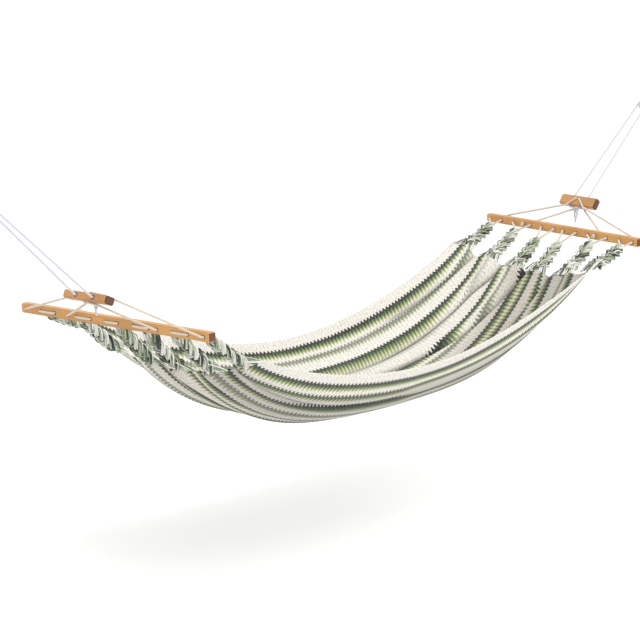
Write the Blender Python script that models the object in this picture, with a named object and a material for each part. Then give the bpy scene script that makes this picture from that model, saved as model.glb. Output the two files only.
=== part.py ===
"""Rope hammock: a woven bed between two wooden spreader bars, hung by ropes from two steel hooks.

The long way of the hammock runs along X and its width along Y. The world origin is the fixing end of the
left hook. Lengths are metres and angles degrees. Side -1 is the left end and side +1 the right end.
Everything is laid out around the middle of the hammock, level with its bars, and then shifted.
"""
import math

import bmesh
import bpy
from mathutils import Matrix, Vector

LEFT = -1
RIGHT = 1
SIDES = {"left": LEFT, "right": RIGHT}

# Spreader bars: where they hang, and their wood.
BAR_REACH = 1.2          # from the middle to each bar
BAR_LENGTH = 0.90
BAR_SIZE = 0.034
BAR_CHAMFER = 0.0045
BAR_YAW = 6.5            # the near ends of the bars hang a little closer together
BAR_TILT = 1.7           # and a little higher
LACE_HOLES = (0.423, 0.351, 0.279, 0.171, 0.102, 0.027)  # from the middle of the bar, on both halves
LEG_HOLE = 0.212
BAR_HOLE_RADIUS = 0.0034

# Blocks that gather the cord legs to the suspension rope.
BLOCK_REACH = 0.112      # outwards from the bar
BLOCK_RISE = 0.102
BLOCK_LENGTH = 0.205
BLOCK_DEPTH = 0.045
BLOCK_THICKNESS = 0.028
BLOCK_CHAMFER = 0.004
BLOCK_PITCH = {LEFT: 24, RIGHT: 57}  # each block lies turned on its ropes
ROPE_HOLE = 0.040
ROPE_HOLE_RADIUS = 0.0052
CORD_HOLE = 0.008
CORD_HOLE_DEPTH = 0.009  # from the middle of the block towards its outer edge

# Cord, rope and their knots.
CORD_RADIUS = 0.0025
CORD_CLEAR = 0.0040      # from a wooden face to the middle of a cord on it
ROPE_RADIUS = 0.0040
ROPE_CLEAR = 0.0052
ROPE_RUN = 0.56          # from the block to the thimble
CORD_KNOT_RADIUS = 0.0065
TOUCH_GAP = 0.0004

# Thimbles and hooks.
THIMBLE_BORE = 0.012     # at its waist
THIMBLE_FLARE = 0.003    # how much wider the bore is at both faces
THIMBLE_FLANGE = 0.0215
THIMBLE_WIDTH = 0.012
THIMBLE_SEAT = 0.0205    # radius of the rope's middle line round the thimble
SEAT_GROOVE = 0.0046
HOOK_WIRE = 0.005
HOOK_BEND = 0.015
HOOK_SHANK = 0.060
HOOK_SLACK = 0.0024     # between the hook and the bore, where the bend of the wire rises

# Bed: the woven sheet and the hanks of warp yarn that hold it.
CLOTH_REACH = 0.975      # from the middle to each woven end
CLOTH_THICKNESS = 0.004
MIDDLE_HALF_WIDTH = 0.40
END_HALF_WIDTH = 0.44
NEAR_RIM_SAG = 0.286     # middle of the near rim, below the bars
FAR_RIM_SAG = 0.335
NEAR_END_SAG = {LEFT: 0.110, RIGHT: 0.024}  # ends of the near rim
FAR_END_SAG = {LEFT: 0.055, RIGHT: 0.090}
RIM_CURVE = 1.83
RIM_LEAN = 0.031         # the near rim hangs lowest a little left of the middle
KEEL_SAG = 0.516
KEEL_END_SAG = {LEFT: 0.200, RIGHT: 0.136}
KEEL_CURVE = 3.1
BOWL = 2.8               # how square the hanging section is; 2 is a parabola
HANK_PLACES = (-0.387, -0.225, -0.065, 0.065, 0.225, 0.387)
HANK_DROP = (0.040, 0.045, 0.080, 0.080, 0.045, 0.040)  # from the bar's inner face to each eye
HANK_SLOPE = 30
HANK_EYE = 0.0135
HANK_EYE_YARN = 0.0040
LACE_OVER_EYE = 0.0155   # how far above and below an eye the lacing passes
HANK_BODY = 0.019
HANK_BODY_YARN = 0.0165
HANK_FOOT = 0.046
HANK_FOOT_YARN = 0.011
HANK_GAP = 0.027         # between a hank's foot and the woven end

PULL = Vector((BLOCK_REACH, 0.0, BLOCK_RISE)).normalized()


def pull_of(side):
    """The way the suspension rope pulls that end: outwards and up."""
    return Vector((side * PULL.x, 0.0, PULL.z))


def block_centre(side):
    return Vector((side * (BAR_REACH + BLOCK_REACH), 0.0, BLOCK_RISE))


def thimble_centre(side):
    return block_centre(side) + ROPE_RUN * pull_of(side)


def hook_bearing(side):
    """The middle of the hook's wire where the thimble hangs on it."""
    offset = THIMBLE_BORE - HOOK_WIRE - HOOK_SLACK
    return thimble_centre(side) + offset * pull_of(side)


def hook_end(side):
    return hook_bearing(side) + (HOOK_BEND + HOOK_SHANK) * pull_of(side)


SHIFT = -hook_end(LEFT)


def bar_axes(side):
    """Unit vectors of a bar: outwards, along its length to the far side, and up."""
    yaw = math.radians(BAR_YAW)
    tilt = math.radians(BAR_TILT)
    along = Vector((side * math.sin(yaw) * math.cos(tilt), math.cos(yaw) * math.cos(tilt), -math.sin(tilt)))
    outward = Vector((side * math.cos(yaw), -math.sin(yaw), 0.0))
    return outward, along, side * outward.cross(along)


def block_axes(side):
    """Unit vectors of a block: its depth towards the rope, along its length, and its thickness."""
    outward, along, up = bar_axes(side)
    pitch = math.radians(BLOCK_PITCH[side])
    depth = math.cos(pitch) * outward + math.sin(pitch) * up
    thick = math.cos(pitch) * up - math.sin(pitch) * outward
    return depth, along, thick


def bar_point(side, along, outward=0.0, up=0.0):
    out_axis, along_axis, up_axis = bar_axes(side)
    centre = Vector((side * BAR_REACH, 0.0, 0.0))
    return centre + outward * out_axis + along * along_axis + up * up_axis


def block_point(side, along, depth=0.0, thick=0.0):
    depth_axis, along_axis, thick_axis = block_axes(side)
    return block_centre(side) + depth * depth_axis + along * along_axis + thick * thick_axis


def cloth_point(lengthwise, across):
    """A point of the hanging bed: lengthwise and across both run from -1 to 1."""
    side = LEFT if lengthwise < 0 else RIGHT
    run = abs(lengthwise)
    half_width = MIDDLE_HALF_WIDTH + (END_HALF_WIDTH - MIDDLE_HALF_WIDTH) * run ** 2
    y = across * half_width
    far = (1.0 + across) / 2.0
    rim = NEAR_RIM_SAG + (FAR_RIM_SAG - NEAR_RIM_SAG) * far
    rim_end = NEAR_END_SAG[side] + (FAR_END_SAG[side] - NEAR_END_SAG[side]) * far
    lean = RIM_LEAN * lengthwise * (1.0 - run ** 2) * (1.0 - far)
    rim_z = lean - rim + (rim - rim_end) * run ** RIM_CURVE
    keel_z = -KEEL_SAG + (KEEL_SAG - KEEL_END_SAG[side]) * run ** KEEL_CURVE
    x = lengthwise * (CLOTH_REACH + math.sin(math.radians(BAR_YAW)) * y)
    return Vector((x, y, rim_z + (keel_z - rim_z) * (1.0 - abs(across) ** BOWL)))


def clear_scene():
    for thing in list(bpy.data.objects):
        bpy.data.objects.remove(thing, do_unlink=True)


def make_material(name, colour, roughness, metallic=0.0):
    result = bpy.data.materials.new(name)
    result.use_nodes = True
    shader = result.node_tree.nodes["Principled BSDF"]
    shader.inputs["Base Color"].default_value = (*colour, 1.0)
    shader.inputs["Roughness"].default_value = roughness
    shader.inputs["Metallic"].default_value = metallic
    result.diffuse_color = (*colour, 1.0)
    return result


def make_empty(name, place):
    empty = bpy.data.objects.new(name, None)
    bpy.context.collection.objects.link(empty)
    empty.location = place
    return empty


def add_piece(name, data, finish, parent, matrix=None):
    """Links an object laid out around the hammock's middle and hangs it on its body's empty."""
    piece = bpy.data.objects.new(name, data)
    bpy.context.collection.objects.link(piece)
    data.materials.append(finish)
    piece.matrix_basis = matrix if matrix else Matrix.Identity(4)
    piece.location += SHIFT - (parent.location if parent else Vector())
    piece.parent = parent
    return piece


def shade_smooth(mesh):
    for face in mesh.polygons:
        face.use_smooth = True


def rounded(corners, radius, step=30.0):
    """The corners joined by straight runs, with an arc of the given radius in place of each bend."""
    path = [corners[0]]
    for before, corner, after in zip(corners, corners[1:], corners[2:]):
        into = (corner - before).normalized()
        out = (after - corner).normalized()
        turn = into.angle(out)
        if turn < math.radians(4):
            path.append(corner)
            continue
        reach = min((corner - before).length * 0.48, (after - corner).length * 0.48)
        cut = min(radius * math.tan(turn / 2), reach)
        bend = cut / math.tan(turn / 2)
        middle = corner + (out - into).normalized() * (bend / math.cos(turn / 2))
        start = corner - into * cut - middle
        axis = into.cross(out).normalized()
        count = max(1, math.ceil(math.degrees(turn) / step))
        path += [middle + Matrix.Rotation(turn * i / count, 3, axis) @ start for i in range(count + 1)]
    path.append(corners[-1])
    return path


def tube_curve(name, path, radius, resolution=2, radii=None, closed=False):
    curve = bpy.data.curves.new(name, "CURVE")
    curve.dimensions = "3D"
    curve.bevel_depth = radius
    curve.bevel_resolution = resolution
    curve.use_fill_caps = not closed
    spline = curve.splines.new("POLY")
    spline.points.add(len(path) - 1)
    for index, place in enumerate(path):
        spline.points[index].co = (*place, 1.0)
        spline.points[index].radius = radii[index] if radii else 1.0
    spline.use_cyclic_u = closed
    spline.use_smooth = True
    return curve


def lathe_mesh(name, profile, steps, closed=False):
    """A solid of revolution about local Z from (radius, height) pairs."""
    shape = bmesh.new()
    rings = []
    for radius, height in profile:
        turns = [2.0 * math.pi * i / steps for i in range(steps)]
        ring = [shape.verts.new((radius * math.cos(t), radius * math.sin(t), height)) for t in turns]
        rings.append(ring)
    pairs = list(zip(rings, rings[1:] + rings[:1])) if closed else list(zip(rings, rings[1:]))
    for low, high in pairs:
        for i in range(steps):
            k = (i + 1) % steps
            shape.faces.new((low[i], low[k], high[k], high[i]))
    if not closed:
        shape.faces.new(list(reversed(rings[0])))
        shape.faces.new(rings[-1])
    bmesh.ops.recalc_face_normals(shape, faces=shape.faces)
    mesh = bpy.data.meshes.new(name)
    shape.to_mesh(mesh)
    shape.free()
    shade_smooth(mesh)
    return mesh


def axes_matrix(x_axis, y_axis, z_axis, place):
    rotation = Matrix((x_axis, y_axis, z_axis)).transposed()
    return Matrix.Translation(place) @ rotation.to_4x4()


def drilled_board(name, size, chamfer, drills, finish, parent, matrix):
    """A chamfered board with round holes. Each drill is (centre, axis index, radius) in the board's own axes."""
    shape = bmesh.new()
    bmesh.ops.create_cube(shape, size=1.0)
    bmesh.ops.scale(shape, vec=size, verts=shape.verts)
    bmesh.ops.bevel(shape, geom=shape.edges, offset=chamfer, segments=3, affect="EDGES")
    mesh = bpy.data.meshes.new(name)
    shape.to_mesh(mesh)
    shape.free()
    board = add_piece(name, mesh, finish, parent, matrix)
    shape = bmesh.new()
    for centre, axis, radius in drills:
        turn = Matrix.Rotation(math.pi / 2, 4, "XYZ"[1 - axis]) if axis < 2 else Matrix.Identity(4)
        bmesh.ops.create_cone(
            shape, cap_ends=True, segments=14, radius1=radius, radius2=radius, depth=2 * max(size[axis], 0.02),
            matrix=Matrix.Translation(centre) @ turn,
        )
    mesh = bpy.data.meshes.new(name + "_drills")
    shape.to_mesh(mesh)
    shape.free()
    drill_set = add_piece(name + "_drills", mesh, finish, parent, matrix)
    drill_set.hide_render = True
    drill_set.display_type = "WIRE"
    drilling = board.modifiers.new("drilling", "BOOLEAN")
    drilling.operation = "DIFFERENCE"
    drilling.solver = "EXACT"
    drilling.object = drill_set
    return board


def build_bar(end, side, finish, parent):
    outward, along, up = bar_axes(side)
    matrix = axes_matrix(up.cross(along) * -1, along, up, bar_point(side, 0.0))
    places = [sign * hole for hole in (*LACE_HOLES, LEG_HOLE) for sign in (-1, 1)]
    drills = [(Vector((0.0, place, 0.0)), 0, BAR_HOLE_RADIUS) for place in places]
    size = (BAR_SIZE, BAR_LENGTH, BAR_SIZE)
    drilled_board(end + "_spreader_bar", size, BAR_CHAMFER, drills, finish, parent, matrix)


def build_block(end, side, finish, parent):
    depth, along, thick = block_axes(side)
    matrix = axes_matrix(along.cross(thick), along, thick, block_centre(side))
    toward_rope = 1.0 if along.cross(thick).dot(depth) > 0 else -1.0
    drills = [(Vector((0.0, sign * ROPE_HOLE, 0.0)), 0, ROPE_HOLE_RADIUS) for sign in (-1, 1)]
    for sign in (-1, 1):
        drills.append((Vector((toward_rope * CORD_HOLE_DEPTH, sign * CORD_HOLE, 0.0)), 2, BAR_HOLE_RADIUS))
    size = (BLOCK_DEPTH, BLOCK_LENGTH, BLOCK_THICKNESS)
    drilled_board(end + "_gathering_block", size, BLOCK_CHAMFER, drills, finish, parent, matrix)


def hank_eye(side, index):
    """The middle of the eye by which the lacing holds a hank."""
    slope = math.radians(HANK_SLOPE)
    drop = HANK_DROP[index]
    inward = BAR_SIZE / 2 + drop * math.cos(slope)
    return bar_point(side, HANK_PLACES[index], -inward, -drop * math.sin(slope))


def hank_frame(side, index):
    """A hank's foot, its length, and unit vectors: towards the eye, across the hank, and square to both."""
    across = HANK_PLACES[index] / END_HALF_WIDTH * 0.98
    foot = cloth_point(side, across) + HANK_GAP * bar_axes(side)[0]
    way = hank_eye(side, index) - foot
    length = way.length
    way.normalize()
    along = bar_axes(side)[1]
    sideways = (along - along.dot(way) * way).normalized()
    return foot, length, way, sideways, side * way.cross(sideways)


def half_harness(side, half):
    """Corners of the cord over one half: leg hole, block, and down to the outermost hole of the bar."""
    face = BAR_SIZE / 2 + CORD_CLEAR
    edge = BLOCK_DEPTH / 2 + CORD_CLEAR
    board = BLOCK_THICKNESS / 2 + CORD_CLEAR
    return [
        bar_point(side, half * LEG_HOLE, -face),
        bar_point(side, half * LEG_HOLE, face),
        block_point(side, half * 0.030, -edge, -board),
        block_point(side, half * CORD_HOLE, CORD_HOLE_DEPTH, -board),
        block_point(side, half * CORD_HOLE, CORD_HOLE_DEPTH, board),
        block_point(side, half * 0.050, -edge, board),
        bar_point(side, half * LACE_HOLES[0], face),
    ]


def lacing_corners(side):
    """Corners of the lacing between the outermost holes: through the bar, the eyes and the bar again."""
    face = BAR_SIZE / 2 + CORD_CLEAR
    holes = list(LACE_HOLES) + [-hole for hole in reversed(LACE_HOLES)]
    corners = []
    for pair, index in enumerate(reversed(range(len(HANK_PLACES)))):
        first, second = holes[2 * pair], holes[2 * pair + 1]
        eye = hank_eye(side, index)
        over = LACE_OVER_EYE * hank_frame(side, index)[4]
        corners += [
            bar_point(side, first, face),
            bar_point(side, first, -face),
            eye + over,
            eye - over,
            bar_point(side, second, -face),
            bar_point(side, second, face),
        ]
    return corners


def build_cord(end, side, finish, parent):
    """The one cord that makes the four legs and the lacing of an end, and the knot at each end of it."""
    far = half_harness(side, 1)
    near = half_harness(side, -1)
    corners = far[:-1] + lacing_corners(side) + list(reversed(near[:-1]))
    path = rounded(corners, CORD_CLEAR)
    add_piece(end + "_lacing_cord", tube_curve(end + "_lacing_cord", path, CORD_RADIUS), finish, parent)
    for word, half in (("far", 1), ("near", -1)):
        outward, along, up = bar_axes(side)
        inward = BAR_SIZE / 2 + CORD_CLEAR + TOUCH_GAP + CORD_KNOT_RADIUS
        place = bar_point(side, half * LEG_HOLE, -inward)
        arc = [math.radians(-90 + 180 * i / 8) for i in range(9)]
        profile = [(max(CORD_KNOT_RADIUS * math.cos(t), 0.001), CORD_KNOT_RADIUS * math.sin(t)) for t in arc]
        mesh = lathe_mesh(end + "_cord_knot_" + word, profile, 16)
        matrix = axes_matrix(along, outward.cross(along), outward, place)
        add_piece(end + "_cord_knot_" + word, mesh, finish, parent, matrix)


def build_rope(end, side, finish, parent):
    """The suspension rope: from its knot behind the block, round the thimble and back to the knot."""
    pull = pull_of(side)
    sideways = Vector((0.0, 1.0, 0.0))
    edge = BLOCK_DEPTH / 2 + ROPE_CLEAR
    centre = thimble_centre(side)
    corners = []
    for half in (1, -1):
        bend = [centre + THIMBLE_SEAT * (half * math.cos(t) * sideways + math.sin(t) * pull)
                for t in (math.radians(angle) for angle in (0, 15, 30, 45, 60, 75, 90))]
        limb = [
            block_point(side, half * 0.0145, -edge),
            block_point(side, half * ROPE_HOLE, -edge),
            block_point(side, half * ROPE_HOLE, edge),
        ]
        corners.append(rounded(limb + [bend[0]], ROPE_CLEAR) + bend[1:])
    path = corners[0] + list(reversed(corners[1]))[1:]
    curve = tube_curve(end + "_suspension_rope", path, ROPE_RADIUS, resolution=3)
    add_piece(end + "_suspension_rope", curve, finish, parent)


def build_rope_knot(end, side, finish, parent):
    """The lump where the two rope ends are tied behind the block, with the tail that hangs from it."""
    profile = [
        (0.0015, 0.0125), (0.0075, 0.0105), (0.0120, 0.0050), (0.0130, 0.0), (0.0120, -0.0050),
        (0.0080, -0.0105), (0.0048, -0.0135), (0.0042, -0.0300), (0.0042, -0.0540), (0.0020, -0.0565),
    ]
    mesh = lathe_mesh(end + "_rope_knot", profile, 16)
    place = block_point(side, 0.0, -(BLOCK_DEPTH / 2 + 0.0140))
    add_piece(end + "_rope_knot", mesh, finish, parent, Matrix.Translation(place))


def build_thimble(end, side, finish, parent):
    half = THIMBLE_WIDTH / 2
    arc = [math.radians(-70 + 140 * i / 6) for i in range(7)]
    groove = [(THIMBLE_SEAT - SEAT_GROOVE * math.cos(t), SEAT_GROOVE * math.sin(t)) for t in arc]
    bore = [(THIMBLE_BORE + THIMBLE_FLARE * t * t, half * t) for t in (1, 0.6, 0.25, -0.25, -0.6, -1)]
    profile = [(THIMBLE_FLANGE, -half), *groove, (THIMBLE_FLANGE, half), *bore]
    mesh = lathe_mesh(end + "_thimble", profile, 32, closed=True)
    pull = pull_of(side)
    across = Vector((0.0, 1.0, 0.0))
    matrix = axes_matrix(across, pull.cross(across).cross(across), pull.cross(across), thimble_centre(side))
    add_piece(end + "_thimble", mesh, finish, parent, matrix)


def build_hook(end, side, finish):
    """An open steel hook: its shank lies in line with the pull and its bend in the upright plane."""
    pull = pull_of(side)
    normal = Vector((-side * pull.z, 0.0, abs(pull.x)))
    middle = hook_bearing(side) + HOOK_BEND * pull
    arc = [math.radians(angle) for angle in range(60, 301, 20)]
    bend = [middle + HOOK_BEND * (math.cos(t) * pull + math.sin(t) * normal) for t in arc]
    shank = rounded([hook_end(side), middle + 0.024 * pull, bend[0]], 0.010, 15)
    path = shank + bend[1:]
    curve = tube_curve(end + "_hook", path, HOOK_WIRE, resolution=3)
    add_piece(end + "_hook", curve, finish, None)


def build_hank(end, side, index, finish, parent):
    """A hank of warp yarn as a plain loop: a small eye, two limbs, and a wide foot at the woven end."""
    foot, length, way, sideways, _ = hank_frame(side, index)
    eye = hank_eye(side, index)
    shape = [
        (0.00, HANK_FOOT, HANK_FOOT_YARN), (0.18, HANK_FOOT * 0.80, HANK_FOOT_YARN),
        (0.38, HANK_BODY * 1.25, HANK_BODY_YARN), (0.60, HANK_BODY, HANK_BODY_YARN),
        (0.80, HANK_BODY * 0.90, HANK_BODY_YARN * 0.85), (0.91, HANK_EYE * 1.15, HANK_EYE_YARN * 1.4),
    ]
    limb = [(foot + share * length * way + half * sideways, yarn) for share, half, yarn in shape]
    turn = [math.radians(angle) for angle in (0, 36, 72, 108, 144, 180)]
    top = [(eye + HANK_EYE * (math.cos(t) * sideways + math.sin(t) * way), HANK_EYE_YARN) for t in turn]
    back = [(foot + share * length * way - half * sideways, yarn) for share, half, yarn in reversed(shape)]
    base = [(foot + half * sideways - 0.002 * way, HANK_FOOT_YARN) for half in (-0.016, 0.016)]
    loop = limb + top + back + base
    path = [place for place, _ in loop]
    radii = [yarn / HANK_BODY_YARN for _, yarn in loop]
    name = end + "_hank_" + str(index + 1)
    curve = tube_curve(name, path, HANK_BODY_YARN, radii=radii, closed=True)
    add_piece(name, curve, finish, parent)


def build_cloth(finish, parent):
    lengthwise, across = 44, 16
    shape = bmesh.new()
    grid = []
    for i in range(lengthwise + 1):
        row = []
        for j in range(across + 1):
            row.append(shape.verts.new(cloth_point(2 * i / lengthwise - 1, 2 * j / across - 1)))
        grid.append(row)
    for low, high in zip(grid, grid[1:]):
        for j in range(across):
            shape.faces.new((low[j], high[j], high[j + 1], low[j + 1]))
    mesh = bpy.data.meshes.new("bed_cloth")
    shape.to_mesh(mesh)
    shape.free()
    shade_smooth(mesh)
    cloth = add_piece("bed_cloth", mesh, finish, parent)
    body = cloth.modifiers.new("cloth_thickness", "SOLIDIFY")
    body.thickness = CLOTH_THICKNESS
    body.offset = 0.0


def main():
    clear_scene()
    wood = make_material("bar_wood", (0.66, 0.36, 0.13), 0.45)
    pale_wood = make_material("block_wood", (0.76, 0.48, 0.22), 0.45)
    cotton_cord = make_material("cotton_cord", (0.82, 0.78, 0.68), 0.85)
    white_rope = make_material("white_rope", (0.86, 0.86, 0.90), 0.70)
    yarn = make_material("warp_yarn", (0.62, 0.66, 0.56), 0.90)
    weave = make_material("striped_weave", (0.72, 0.72, 0.64), 0.90)
    steel = make_material("zinc_steel", (0.72, 0.73, 0.74), 0.35, 1.0)
    bodies = {
        "left": make_empty("hammock_body", hook_bearing(LEFT) + SHIFT),
        "right": make_empty("right_end_body", hook_bearing(RIGHT) + SHIFT),
    }
    for end, side in SIDES.items():
        body = bodies[end]
        build_hook(end, side, steel)
        build_thimble(end, side, steel, body)
        build_rope(end, side, white_rope, body)
        build_rope_knot(end, side, white_rope, body)
        build_block(end, side, pale_wood, body)
        build_bar(end, side, wood, body)
        build_cord(end, side, cotton_cord, body)
        for index in range(len(HANK_PLACES)):
            build_hank(end, side, index, yarn, body)
    build_cloth(weave, bodies["left"])


main()
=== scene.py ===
import math
import random

import bpy
import numpy as np
from mathutils import Matrix, Vector


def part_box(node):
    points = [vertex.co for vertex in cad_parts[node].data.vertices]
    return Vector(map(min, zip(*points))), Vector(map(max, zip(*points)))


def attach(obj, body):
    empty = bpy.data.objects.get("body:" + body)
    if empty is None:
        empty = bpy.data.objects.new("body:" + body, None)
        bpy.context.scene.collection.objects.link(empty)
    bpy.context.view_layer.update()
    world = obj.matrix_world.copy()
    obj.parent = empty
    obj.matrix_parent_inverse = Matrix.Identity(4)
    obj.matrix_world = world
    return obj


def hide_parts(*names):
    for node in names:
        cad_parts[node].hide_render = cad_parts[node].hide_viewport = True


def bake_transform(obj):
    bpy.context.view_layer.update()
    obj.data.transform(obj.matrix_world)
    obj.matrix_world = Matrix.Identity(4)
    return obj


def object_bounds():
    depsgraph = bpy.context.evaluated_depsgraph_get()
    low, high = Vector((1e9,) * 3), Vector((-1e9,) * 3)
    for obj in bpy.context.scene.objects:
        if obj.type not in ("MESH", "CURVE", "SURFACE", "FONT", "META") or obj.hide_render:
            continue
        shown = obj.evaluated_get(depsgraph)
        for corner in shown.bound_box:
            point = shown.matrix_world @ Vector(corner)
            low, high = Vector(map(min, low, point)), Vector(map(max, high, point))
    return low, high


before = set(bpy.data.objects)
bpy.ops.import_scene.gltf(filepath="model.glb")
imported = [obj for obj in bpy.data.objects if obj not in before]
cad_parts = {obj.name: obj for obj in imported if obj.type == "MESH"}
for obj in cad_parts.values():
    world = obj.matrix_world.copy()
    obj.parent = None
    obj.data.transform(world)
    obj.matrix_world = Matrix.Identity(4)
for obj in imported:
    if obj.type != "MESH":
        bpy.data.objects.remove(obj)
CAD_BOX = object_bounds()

LEFT = -1
RIGHT = 1
SIDES = {"left": LEFT, "right": RIGHT}
BODIES = {LEFT: "hammock", RIGHT: "right_end"}

# Driving dimensions of the model.
BAR_REACH = 1.2
BAR_LENGTH = 0.90
BAR_SIZE = 0.034
BAR_YAW = 6.5
BAR_TILT = 1.7
LACE_HOLES = (0.423, 0.351, 0.279, 0.171, 0.102, 0.027)
LEG_HOLE = 0.212
BLOCK_REACH = 0.112
BLOCK_RISE = 0.102
BLOCK_LENGTH = 0.205
BLOCK_DEPTH = 0.045
BLOCK_THICKNESS = 0.028
BLOCK_PITCH = {LEFT: 24, RIGHT: 57}
ROPE_HOLE = 0.040
CORD_HOLE = 0.008
CORD_HOLE_DEPTH = 0.009
ROPE_RUN = 0.56
THIMBLE_SEAT = 0.0205
CLOTH_REACH = 0.975
MIDDLE_HALF_WIDTH = 0.40
END_HALF_WIDTH = 0.44
NEAR_RIM_SAG = 0.286
FAR_RIM_SAG = 0.335
NEAR_END_SAG = {LEFT: 0.110, RIGHT: 0.024}
FAR_END_SAG = {LEFT: 0.055, RIGHT: 0.090}
RIM_CURVE = 1.83
RIM_LEAN = 0.031
KEEL_SAG = 0.516
KEEL_END_SAG = {LEFT: 0.200, RIGHT: 0.136}
KEEL_CURVE = 3.1
BOWL = 2.8
HANK_PLACES = (-0.387, -0.225, -0.065, 0.065, 0.225, 0.387)
HANK_DROP = (0.040, 0.045, 0.080, 0.080, 0.045, 0.040)
HANK_SLOPE = 30

# Cords, as they look.
CORD_RADIUS = 0.0042
CORD_CLEAR = 0.0044
CORD_LAY = 0.016
ROPE_RADIUS = 0.0041
ROPE_CLEAR = 0.0052
ROPE_LAY = 0.046

# Knots of cord and of rope.
CORD_KNOT_REACH = 0.0068
ROPE_KNOT_REACH = 0.0105
ROPE_KNOT_RADIUS = 0.013
ROPE_TAILS = ((1, 0.055), (-1, 0.042))   # the side that each tail leans to, and how far it hangs

# Pale grain, dark grain and sawn end of each wood; the sawn end is darker end grain with shade painted in.
BAR_WOOD = ((0.59, 0.305, 0.090), (0.40, 0.180, 0.040), (0.115, 0.045, 0.016))
BLOCK_WOOD = ((0.52, 0.265, 0.095), (0.36, 0.165, 0.050), (0.110, 0.042, 0.016))

# The view.
CAMERA_PLACE = Vector((-5.756, -5.648, 1.704))
CAMERA_HEADING = 45.556
CAMERA_PITCH = 13.233
CAMERA_LENS = 121.8
SENSOR_WIDTH = 36.0
FLOOR_DROP = 0.55
SKY_STRENGTH = 1.04
LIGHT_SIZE = 4.0
LIGHTS = (
    ("key_light", Vector((-1.0, -3.6, 5.0)), 220.0),
    ("fill_light", Vector((4.0, -2.0, 4.0)), 60.0),
)


def bars_middle():
    """The point level with both bars and midway between them."""
    corners = [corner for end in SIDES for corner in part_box(end + "_spreader_bar")]
    low = Vector(min(corner[axis] for corner in corners) for axis in range(3))
    high = Vector(max(corner[axis] for corner in corners) for axis in range(3))
    return (low + high) / 2


MIDDLE = bars_middle()


def pull_of(side):
    pull = Vector((BLOCK_REACH, 0.0, BLOCK_RISE)).normalized()
    return Vector((side * pull.x, 0.0, pull.z))


def block_centre(side):
    return MIDDLE + Vector((side * (BAR_REACH + BLOCK_REACH), 0.0, BLOCK_RISE))


def bar_axes(side):
    """Unit vectors of a bar: outwards, along its length to the far side, and up."""
    yaw = math.radians(BAR_YAW)
    tilt = math.radians(BAR_TILT)
    along = Vector((side * math.sin(yaw) * math.cos(tilt), math.cos(yaw) * math.cos(tilt), -math.sin(tilt)))
    outward = Vector((side * math.cos(yaw), -math.sin(yaw), 0.0))
    return outward, along, side * outward.cross(along)


def block_axes(side):
    """Unit vectors of a block: its depth towards the rope, along its length, and its thickness."""
    outward, along, up = bar_axes(side)
    pitch = math.radians(BLOCK_PITCH[side])
    depth = math.cos(pitch) * outward + math.sin(pitch) * up
    thick = math.cos(pitch) * up - math.sin(pitch) * outward
    return depth, along, thick


def bar_point(side, along, outward=0.0, up=0.0):
    out_axis, along_axis, up_axis = bar_axes(side)
    centre = MIDDLE + Vector((side * BAR_REACH, 0.0, 0.0))
    return centre + outward * out_axis + along * along_axis + up * up_axis


def block_point(side, along, depth=0.0, thick=0.0):
    depth_axis, along_axis, thick_axis = block_axes(side)
    return block_centre(side) + depth * depth_axis + along * along_axis + thick * thick_axis


def bed_places(lengthwise, across):
    """Points of the smooth hanging bed, for arrays of places from -1 to 1 lengthwise and across."""
    run = np.abs(lengthwise)
    far = (1.0 + across) / 2.0
    near_end = np.where(lengthwise < 0, NEAR_END_SAG[LEFT], NEAR_END_SAG[RIGHT])
    far_end = np.where(lengthwise < 0, FAR_END_SAG[LEFT], FAR_END_SAG[RIGHT])
    keel_end = np.where(lengthwise < 0, KEEL_END_SAG[LEFT], KEEL_END_SAG[RIGHT])
    y = across * (MIDDLE_HALF_WIDTH + (END_HALF_WIDTH - MIDDLE_HALF_WIDTH) * run ** 2)
    rim = NEAR_RIM_SAG + (FAR_RIM_SAG - NEAR_RIM_SAG) * far
    rim_end = near_end + (far_end - near_end) * far
    lean = RIM_LEAN * lengthwise * (1.0 - run ** 2) * (1.0 - far)
    rim_z = lean - rim + (rim - rim_end) * run ** RIM_CURVE
    keel_z = -KEEL_SAG + (KEEL_SAG - keel_end) * run ** KEEL_CURVE
    x = lengthwise * (CLOTH_REACH + math.sin(math.radians(BAR_YAW)) * y)
    z = rim_z + (keel_z - rim_z) * (1.0 - np.abs(across) ** BOWL)
    return np.stack(np.broadcast_arrays(x, y, z), axis=-1) + np.array(MIDDLE)


def bed_point(lengthwise, across):
    return Vector(bed_places(np.array(float(lengthwise)), np.array(float(across))))


def hank_eye(side, index):
    slope = math.radians(HANK_SLOPE)
    drop = HANK_DROP[index]
    inward = BAR_SIZE / 2 + drop * math.cos(slope)
    return bar_point(side, HANK_PLACES[index], -inward, -drop * math.sin(slope))


def hank_across(index):
    return HANK_PLACES[index] / END_HALF_WIDTH * 0.98


# ---------------------------------------------------------------- node trees

class Value:
    """A socket of a node tree, with arithmetic that adds Math nodes."""

    def __init__(self, net, socket):
        self.net = net
        self.socket = socket

    def math(self, operation, *others):
        settings = {"operation": operation}
        return self.net.add("ShaderNodeMath", settings, dict(enumerate((self, *others))))

    def __add__(self, other):
        return self.math("ADD", other)

    def __sub__(self, other):
        return self.math("SUBTRACT", other)

    def __mul__(self, other):
        return self.math("MULTIPLY", other)

    def __truediv__(self, other):
        return self.math("DIVIDE", other)

    def __rsub__(self, other):
        return self.net.number(other).math("SUBTRACT", self)

    def between(self, low, high):
        return self.math("MAXIMUM", low).math("MINIMUM", high)

    __radd__ = __add__
    __rmul__ = __mul__


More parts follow.
